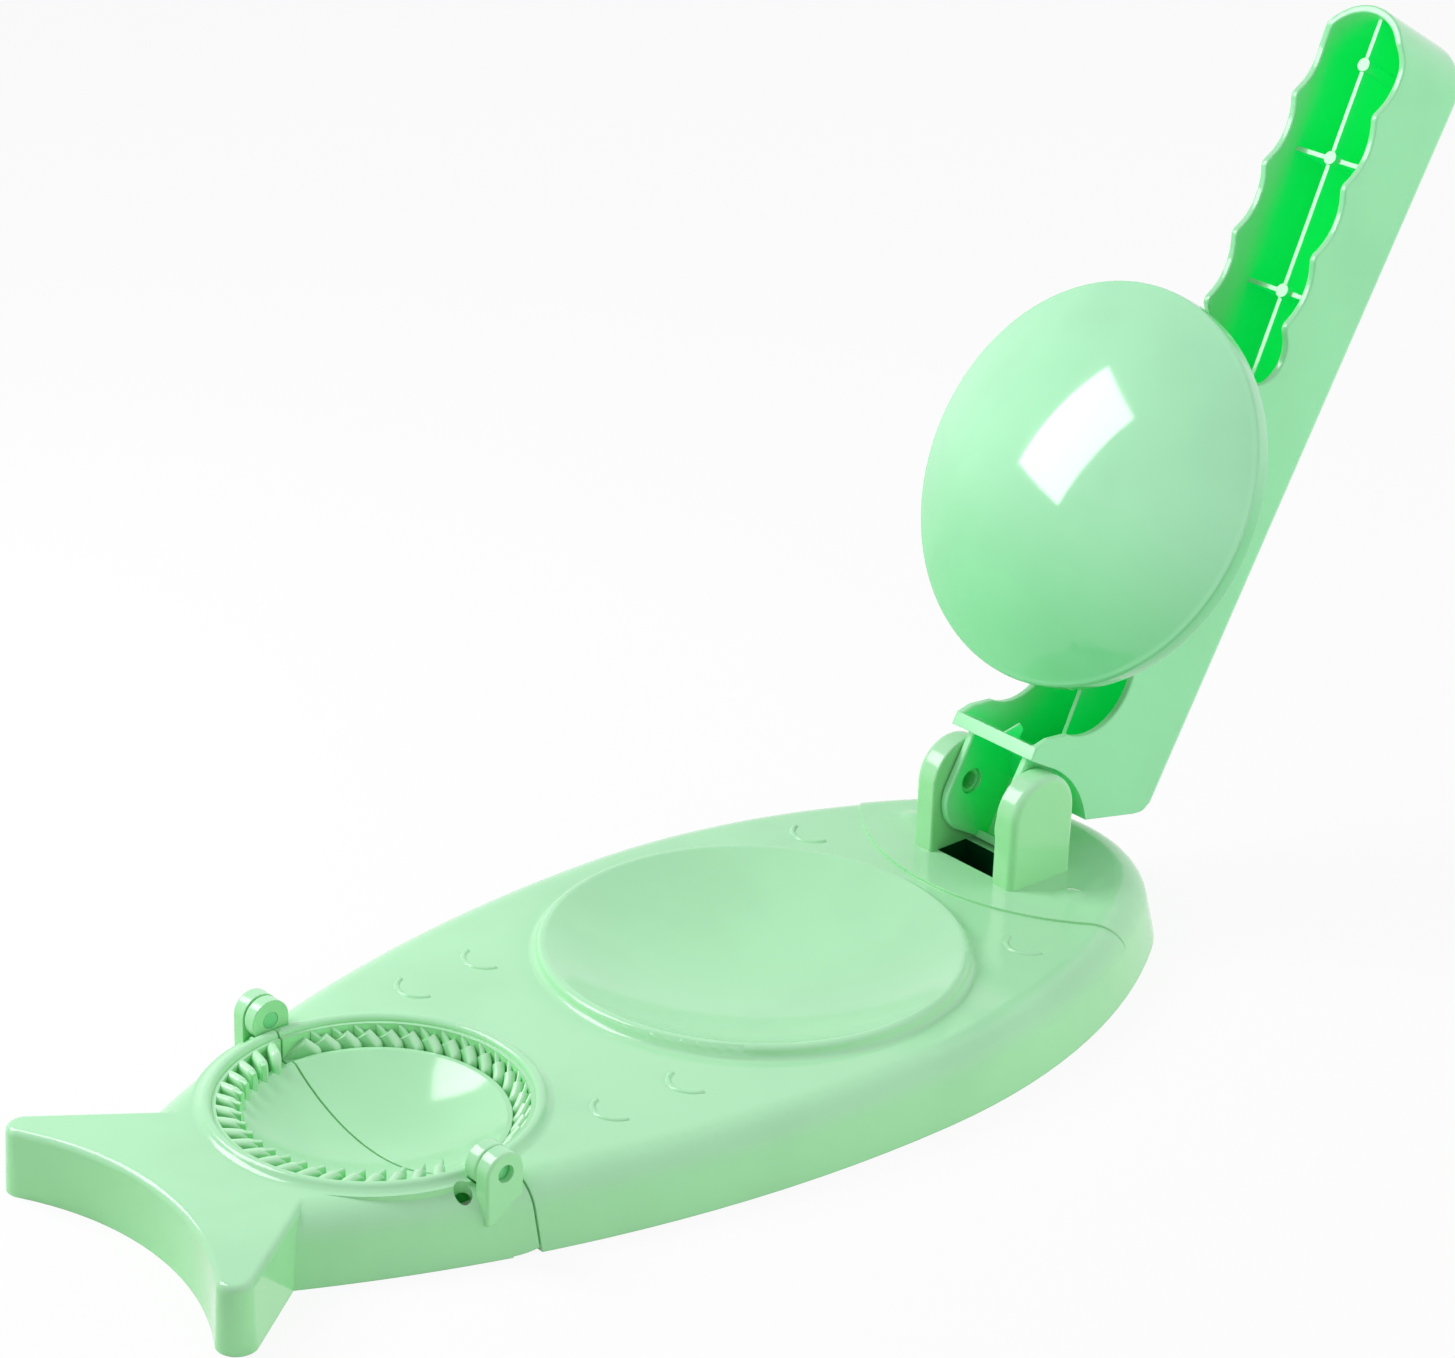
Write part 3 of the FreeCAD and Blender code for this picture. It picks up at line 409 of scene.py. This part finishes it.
def turnedShape(shape, profile, steps, x=0.0):  # profile of (radius, height), its ends on the axis
    rings = []
    for radius, height in profile:
        ring = []
        for step in range(steps if radius else 1):
            angle = 2 * math.pi * step / steps
            place = (x + radius * math.cos(angle), radius * math.sin(angle), height)
            ring.append(shape.verts.new(place))
        rings.append(ring)
    for low, high in zip(rings, rings[1:]):
        for step in range(steps):
            around = ((low, step), (low, step + 1), (high, step + 1), (high, step))
            corners = [ring[place % len(ring)] for ring, place in around]
            shape.faces.new(list(dict.fromkeys(corners)))  # three corners at the axis, four elsewhere


def domeProfile(sizes):
    band, edge, wall = sizes["band"], sizes["edgeRound"], sizes["wall"]
    centre = (0.0, sizes["rise"] - sizes["sphere"])
    rimAngle = math.degrees(math.asin((-edge - centre[1]) / (sizes["sphere"] - edge)))
    rim = (sizes["radius"] - edge, -edge)
    inner = sizes["sphere"] - wall
    innerRadius = sizes["radius"] - wall
    innerAngle = math.degrees(math.acos(innerRadius / inner))
    soft = wall / 5
    profile = arcPoints(centre, sizes["sphere"], 90, rimAngle, sizes["capSteps"])
    profile += arcPoints(rim, edge, rimAngle, 0, sizes["edgeSteps"])[1:]
    profile += arcPoints((sizes["radius"] - soft, soft - band), soft, 0, -90, sizes["softSteps"])
    profile += arcPoints((innerRadius + soft, soft - band), soft, -90, -180, sizes["softSteps"])
    profile += arcPoints(centre, inner, innerAngle, 90, sizes["capSteps"])
    profile[0] = (0.0, profile[0][1])
    profile[-1] = (0.0, profile[-1][1])
    return profile


def domeTransform(sizes):
    return leanFrame(leverHinge, sizes["lean"]) @ Matrix.Translation((sizes["along"], 0, sizes["offset"]))


def buildDome(sizes):
    back = -sizes["band"]
    chamfer = sizes["wall"] / 6
    hub, boss, post = sizes["hub"], sizes["boss"], sizes["post"]
    top = sizes["rise"] - sizes["wall"] / 2
    spindle = [(0.0, back), (hub - chamfer, back), (hub, back + chamfer), (hub, top), (0.0, top)]
    out = sizes["postSpacing"] / 2
    end = back - sizes["postLength"]
    high = math.sqrt((sizes["sphere"] - sizes["wall"] / 2) ** 2 - (out + boss) ** 2)
    high += sizes["rise"] - sizes["sphere"]
    stem = [(0.0, end), (post - chamfer, end), (post, end + chamfer), (post, back)]
    stem += [(boss - chamfer, back), (boss, back + chamfer), (boss, high), (0.0, high)]
    shape = bmesh.new()
    turnedShape(shape, domeProfile(sizes), sizes["turnSteps"])
    turnedShape(shape, spindle, sizes["hubSteps"])
    for x in (-out, out):
        turnedShape(shape, stem, sizes["postSteps"], x)
    bmesh.ops.recalc_face_normals(shape, faces=shape.faces)
    shape.transform(domeTransform(sizes))
    mesh = smoothMesh("domeShell", shape, sizes["crease"])
    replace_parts(newPiece("domeShell", mesh, domePlastic, "lever"), "press_dome")


# Geometry Nodes

def nodeGroup(name, inputs):
    group = bpy.data.node_groups.new(name, "GeometryNodeTree")
    board = Board(group)
    group.interface.new_socket("Geometry", in_out="OUTPUT", socket_type="NodeSocketGeometry")
    kinds = {int: "NodeSocketInt", float: "NodeSocketFloat"}
    for label, value in inputs.items():
        group.interface.new_socket(label, in_out="INPUT", socket_type=kinds[type(value)])
    holder = board.node("NodeGroupInput").socket.node
    return board, {label: Signal(board, holder.outputs[label]) for label in inputs}


def grownMesh(name, board, inputs, geometry, material):  # runs the tree and gives back a plain mesh
    real = board.node("GeometryNodeRealizeInstances", None, {"Geometry": geometry})
    painted = board.node("GeometryNodeSetMaterial", None, {"Geometry": real, "Material": material})
    board.node("NodeGroupOutput", None, {"Geometry": painted})
    holder = bpy.data.objects.new(name + "Holder", bpy.data.meshes.new(name + "Seed"))
    bpy.context.scene.collection.objects.link(holder)
    modifier = holder.modifiers.new(name, "NODES")
    modifier.node_group = board.tree
    for item in board.tree.interface.items_tree:
        if item.in_out == "INPUT":
            modifier[item.identifier] = inputs[item.name]
    bpy.context.view_layer.update()
    evaluated = holder.evaluated_get(bpy.context.evaluated_depsgraph_get())
    mesh = bpy.data.meshes.new_from_object(evaluated)
    bpy.data.objects.remove(holder)
    mesh.name = name
    return mesh


def moved(board, shape, x, y, z):  # each point of a shape put at this place
    sockets = {"Geometry": shape, "Position": board.joined(x, y, z)}
    return board.node("GeometryNodeSetPosition", None, sockets)


def turnedRow(board, shape, count, pitch, first):  # copies of a shape, turned about the z axis
    spots = board.node("GeometryNodePoints", None, {"Count": count})
    angle = board.joined(0.0, 0.0, first + board.node("GeometryNodeInputIndex") * pitch)
    sockets = {"Points": spots, "Instance": shape, "Rotation": angle}
    return board.node("GeometryNodeInstanceOnPoints", None, sockets)


def domeRibs(sizes):
    inputs = {
        "ribCount": sizes["ribCount"],
        "ribLength": sizes["radius"] - sizes["wall"] / 2,
        "ribWidth": sizes["ribWidth"],
        "band": sizes["band"],
        "sphere": sizes["sphere"] - sizes["wall"] / 2,
        "rise": sizes["rise"] - sizes["wall"] / 2,
    }
    board, given = nodeGroup("domeRibTree", inputs)
    size = board.joined(given["ribLength"], given["ribWidth"], 1.0)
    sockets = {"Size": size, "Vertices X": sizes["ribSteps"], "Vertices Y": 2, "Vertices Z": 2}
    plate = board.node("GeometryNodeMeshCube", None, sockets, "Mesh")
    x, y, z = board.split(board.node("GeometryNodeInputPosition"))
    out = x + given["ribLength"] / 2
    arch = (given["sphere"] * given["sphere"] - out * out).root() + (given["rise"] - given["sphere"])
    height = z.moreThan(0.0) * (arch + given["band"]) - given["band"]
    rib = moved(board, plate, out, y, height)
    row = turnedRow(board, rib, given["ribCount"], 2 * math.pi / sizes["ribCount"], 0.0)
    mesh = grownMesh("domeRibs", board, inputs, row, domePlastic)
    mesh.transform(domeTransform(sizes))
    newPiece("domeRibs", mesh, domePlastic, "lever")


buildDome(domeSizes)
domeRibs(domeSizes)
print("dome turned, ribs grown")


# Crimping teeth: rounded fins over the moulded ones, one row on the base and one on the tail

toothSizes = {
    "count": 20,
    "pitch": math.radians(8.5),
    "outerRadius": 35 * mm,
    "lipRadius": 31 * mm,
    "rootSink": 0.4 * mm,  # how far a tooth reaches into the ridge
    "lipSink": 0.1 * mm,  # and past the lip of the mould's bowl
    "width": 2.7 * mm,
    "roundness": 1.3 * mm,
    "endRound": 0.45,  # share of a tooth's length over which its inner end is rounded off
    "endTaper": 0.8,  # share of its section that the end loses
    "top": 16.7 * mm,
    "floor": 10.8 * mm,
    "lengthSteps": 14,
    "cornerSteps": 5,
    "weld": 0.01 * mm,
    "crease": math.radians(45),
}
frontTeeth = dict(
    toothSizes,
    middle=math.radians(4.25),
    swirl=7.0,
    reach=4.7 * mm,
    drop=3.6 * mm,
    bow=0.35 * mm,
)
rearTeeth = dict(
    toothSizes,
    middle=math.radians(175.75),
    swirl=-6.0,
    reach=6.7 * mm,
    drop=0.0,
    bow=0.5 * mm,
)


def toothPath(board, given, sizes):  # from the ridge to the lip, bowed sideways
    swirl = math.radians(sizes["swirl"])
    lean = math.asin(math.sin(swirl) * sizes["lipRadius"] / (sizes["reach"] - sizes["lipSink"]))
    along = Vector((-math.cos(lean), -math.sin(lean), 0))
    side = Vector((-along.y, along.x, 0))
    ridge = Vector((sizes["outerRadius"], 0, 0))
    start = ridge - along * sizes["rootSink"]
    end = ridge + along * sizes["reach"]
    middle = (start + end) / 2
    low, bow, drop = given["floor"], given["bow"], given["drop"]
    sockets = {
        "Resolution": sizes["lengthSteps"],
        "Start": board.joined(start.x, start.y, low),
        "Middle": board.joined(middle.x + bow * side.x, middle.y + bow * side.y, low - drop / 2),
        "End": board.joined(end.x, end.y, low - drop),
    }
    path = board.node("GeometryNodeCurveQuadraticBezier", None, sockets)
    return board.node("GeometryNodeSetCurveNormal", {"mode": "Z_UP"}, {"Curve": path})


def toothSection(board, given, sizes):
    sides = {"Width": given["width"], "Height": given["height"]}
    outline = board.node("GeometryNodeCurvePrimitiveQuadrilateral", {"mode": "RECTANGLE"}, sides)
    sockets = {"Curve": outline, "Radius": given["roundness"], "Count": sizes["cornerSteps"]}
    return board.node("GeometryNodeFilletCurve", {"mode": "POLY"}, sockets)


def crimpTeeth(name, sizes, body):
    named = ("count", "pitch", "width", "roundness", "drop", "floor", "bow", "endRound", "endTaper")
    inputs = {key: sizes[key] for key in named}
    inputs["height"] = 2 * (sizes["top"] - sizes["floor"])
    board, given = nodeGroup(name + "Tree", inputs)
    way = board.node("GeometryNodeSplineParameter", output="Factor")
    close = ((way - (1 - given["endRound"])) / given["endRound"]).atLeast(0.0)
    sockets = {
        "Curve": toothPath(board, given, sizes),
        "Profile Curve": toothSection(board, given, sizes),
        "Scale": (1 - close * close * given["endTaper"]).root(),
        "Fill Caps": True,
    }
    fin = board.node("GeometryNodeCurveToMesh", None, sockets)
    x, y, z = board.split(board.node("GeometryNodeInputPosition"))
    standing = moved(board, fin, x, y, z.atLeast(given["floor"]))
    first = sizes["middle"] - (sizes["count"] - 1) / 2 * sizes["pitch"]
    row = turnedRow(board, standing, given["count"], given["pitch"], first)
    mesh = grownMesh(name, board, inputs, row, toothPlastic)
    shape = bmesh.new()
    shape.from_mesh(mesh)
    bmesh.ops.remove_doubles(shape, verts=shape.verts, dist=sizes["weld"])
    bmesh.ops.recalc_face_normals(shape, faces=shape.faces)
    shape.transform(Matrix.Translation((tailHinge.x, 0, 0)))
    evenNormals(newPiece(name, smoothMesh(name, shape, sizes["crease"]), toothPlastic, body))


crimpTeeth("frontTeeth", frontTeeth, "base")
crimpTeeth("rearTeeth", rearTeeth, "tail")
print("teeth grown")


# Hinge pins, turned along the y axis

pinSizes = {
    "soft": 0.35 * mm,
    "softSteps": 3,
    "turnSteps": 40,
    "crease": math.radians(40),
}
leverPin = dict(
    pinSizes,
    radius=3.4 * mm,
    start=9.0 * mm,
    end=15.55 * mm,
    bore=2.3 * mm,
    boreDepth=5.0 * mm,
)
mouldPin = dict(pinSizes, radius=2.05 * mm, start=39.2 * mm, end=45.5 * mm)


def pinProfile(sizes):
    soft, start, end, steps = sizes["soft"], sizes["start"], sizes["end"], sizes["softSteps"]
    flank = sizes["radius"] - soft
    if "bore" in sizes:
        bore = sizes["bore"]
        floor = start + sizes["boreDepth"]
        profile = [(0.0, floor), (bore - soft, floor), (bore, floor - soft)]
        profile += arcPoints((bore + soft, start + soft), soft, 180, 270, steps)
    else:
        profile = [(0.0, start)]
    profile += arcPoints((flank, start + soft), soft, -90, 0, steps)
    profile += arcPoints((flank, end - soft), soft, 0, 90, steps)
    return profile + [(0.0, end)]


def hingePin(name, node, sizes, hinge, side, body):
    shape = bmesh.new()
    turnedShape(shape, pinProfile(sizes), sizes["turnSteps"])
    swing = Matrix.Rotation(math.radians(-90 * side), 4, "X")
    shape.transform(Matrix.Translation(hinge) @ swing)
    bmesh.ops.recalc_face_normals(shape, faces=shape.faces)
    mesh = smoothMesh(name, shape, sizes["crease"])
    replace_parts(newPiece(name, mesh, pinPlastic, body), node)


for label, side in (("near", -1), ("far", 1)):
    hingePin("leverPin_" + label, "lever_pin_" + label, leverPin, leverHinge, side, "lever")
    hingePin("mouldPin_" + label, "mould_pin_" + label, mouldPin, tailHinge, side, "base")
print("pins turned")


# Camera, at the photograph's angle

cameraChoices = {
    "azimuth": -42.199,
    "elevation": 24.281,
    "roll": 1.827,
    "distance": 1.16676,
    "target": (0.12454, 0.14977, 0.0),
    "focalPixels": 4096.0,
    "imageWidth": 1455,
    "sensor": 36.0,
    "clipStart": 0.05,
    "clipEnd": 50.0,
}


def setCamera(choices):
    azimuth = math.radians(choices["azimuth"])
    elevation = math.radians(choices["elevation"])
    roll = math.radians(choices["roll"])
    level = math.cos(elevation)
    back = Vector((math.sin(azimuth) * level, -math.cos(azimuth) * level, math.sin(elevation)))
    right = Vector((math.cos(azimuth), math.sin(azimuth), 0))
    up = back.cross(right)
    tiltedRight = math.cos(roll) * right + math.sin(roll) * up
    tiltedUp = math.cos(roll) * up - math.sin(roll) * right
    camera = bpy.data.objects.new("camera", bpy.data.cameras.new("camera"))
    bpy.context.scene.collection.objects.link(camera)
    place = Vector(choices["target"]) + back * choices["distance"]
    turn = Matrix((tiltedRight, tiltedUp, back)).transposed().to_4x4()
    camera.matrix_world = Matrix.Translation(place) @ turn
    camera.data.sensor_width = choices["sensor"]
    camera.data.lens = choices["sensor"] * choices["focalPixels"] / choices["imageWidth"]
    camera.data.clip_start = choices["clipStart"]
    camera.data.clip_end = choices["clipEnd"]
    bpy.context.scene.camera = camera


setCamera(cameraChoices)


# Light and floor

keyBox = {  # the softbox whose window shows on the dome
    "place": (-0.270, 0.349, 0.422),
    "target": (0.099, -0.004, 0.126),
    "width": 0.24,
    "height": 0.35,
    "radiance": 9.0,
    "mirrored": True,
}
fillBox = {  # brightens the near walls and shows in no reflection
    "place": (0.9, -1.1, 0.48),
    "target": (0.02, 0.0, 0.05),
    "width": 1.2,
    "height": 0.8,
    "radiance": 2.4,
    "mirrored": False,
}
studio = {
    "worldLevel": 0.52,  # the world's light on the object, where the camera sees plain white
    "floorColour": (0.86, 0.86, 0.86, 1),
    "floorVeil": 0.9,  # how much plain white the camera sees in place of the floor's light and shade
    "floorHalf": 3.0,
    "shadeCentre": 20 * mm,  # in an ellipse under the base the floor keeps its own shade
    "shadeLength": 90 * mm,
    "shadeWidth": 50 * mm,
}


def addBox(name, choices):
    lamp = bpy.data.lights.new(name, "AREA")
    lamp.shape = "RECTANGLE"
    lamp.size, lamp.size_y = choices["width"], choices["height"]
    lamp.energy = math.pi * lamp.size * lamp.size_y * choices["radiance"]
    holder = bpy.data.objects.new(name, lamp)
    bpy.context.scene.collection.objects.link(holder)
    holder.location = choices["place"]
    back = Vector(choices["place"]) - Vector(choices["target"])
    holder.rotation_euler = back.to_track_quat("Z", "Y").to_euler()
    holder.visible_glossy = choices["mirrored"]


def seenDirectly(board):  # 1 for what the camera sees, also by reflection or through glass
    rays = board.node("ShaderNodeLightPath").socket.node
    kinds = ("Camera", "Glossy", "Transmission")
    camera, glossy, transmission = [Signal(board, rays.outputs["Is " + kind + " Ray"]) for kind in kinds]
    return camera.atLeast(glossy).atLeast(transmission)


def setWorld(choices):
    world = bpy.data.worlds.new("studio")
    bpy.context.scene.world = world
    world.use_nodes = True
    board = Board(world.node_tree)
    strength = choices["worldLevel"] + seenDirectly(board) * (1 - choices["worldLevel"])
    light = board.node("ShaderNodeBackground", None, {"Color": white, "Strength": strength})
    board.node("ShaderNodeOutputWorld", None, {"Surface": light})


def addFloor(choices):
    half = choices["floorHalf"]
    mesh = bpy.data.meshes.new("floor")
    corners = [(-half, -half, 0), (half, -half, 0), (half, half, 0), (-half, half, 0)]
    mesh.from_pydata(corners, [], [(0, 1, 2, 3)])
    floor = bpy.data.objects.new("floor", mesh)
    bpy.context.scene.collection.objects.link(floor)
    material = bpy.data.materials.new("paleFloor")
    material.use_nodes = True
    board = Board(material.node_tree)
    lit = board.node("ShaderNodeBsdfDiffuse", None, {"Color": choices["floorColour"]})
    plain = board.node("ShaderNodeEmission", None, {"Color": white, "Strength": 1.0})
    x, y, z = board.split(board.node("ShaderNodeTexCoord", output="Object"))
    along = (x - choices["shadeCentre"]) / choices["shadeLength"]
    across = y / choices["shadeWidth"]
    outside = (along * along + across * across).moreThan(1.0)
    veil = seenDirectly(board) * outside * choices["floorVeil"]
    shown = board.node("ShaderNodeMixShader", None, {0: veil, 1: lit, 2: plain})
    board.node("ShaderNodeOutputMaterial", None, {"Surface": shown})
    mesh.materials.append(material)


addBox("keyBox", keyBox)
addBox("fillBox", fillBox)
setWorld(studio)
addFloor(studio)
bpy.context.scene.view_settings.view_transform = "Standard"
print("camera, light and floor set")
